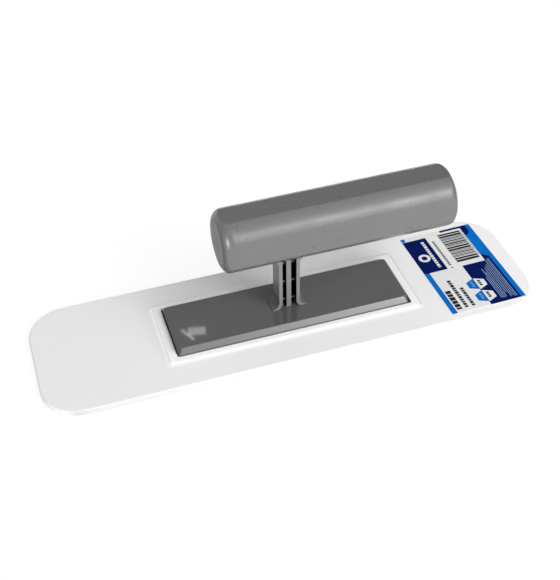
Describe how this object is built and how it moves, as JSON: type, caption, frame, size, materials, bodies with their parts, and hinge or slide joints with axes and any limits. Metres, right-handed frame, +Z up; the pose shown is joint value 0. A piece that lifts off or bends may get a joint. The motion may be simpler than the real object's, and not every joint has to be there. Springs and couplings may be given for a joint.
{
  "type": "plastering trowel",
  "caption": "Thin white plastic plastering trowel with a raised-rim pocket, ribbed grey stem and an eight-sided capped grip set along the blade.",
  "frame": {"origin": "centre of the blade's flat working face, at z = 0", "axes": "+Z up from the working face to the grip, +X along the blade towards the long end of the grip, +Y across the blade"},
  "size_m": [0.24, 0.07, 0.0646],
  "materials": {
    "white_plastic": "semi-gloss moulded white",
    "adhesive": "soft adhesive film",
    "grey_gloss": "polished moulded grey",
    "grey_plastic": "fine satin moulded grey",
    "grey_satin": "satin with a fine mould grain",
    "label_film": null
  },
  "bodies": {
    "root": {"blade": "white_plastic", "adhesive_pad": "adhesive", "base_plate": "grey_gloss", "stem": "grey_plastic", "grip_tube": "grey_satin", "end_cap_left": "grey_satin", "end_cap_right": "grey_satin", "label": "label_film"}
  },
  "joints": []
}
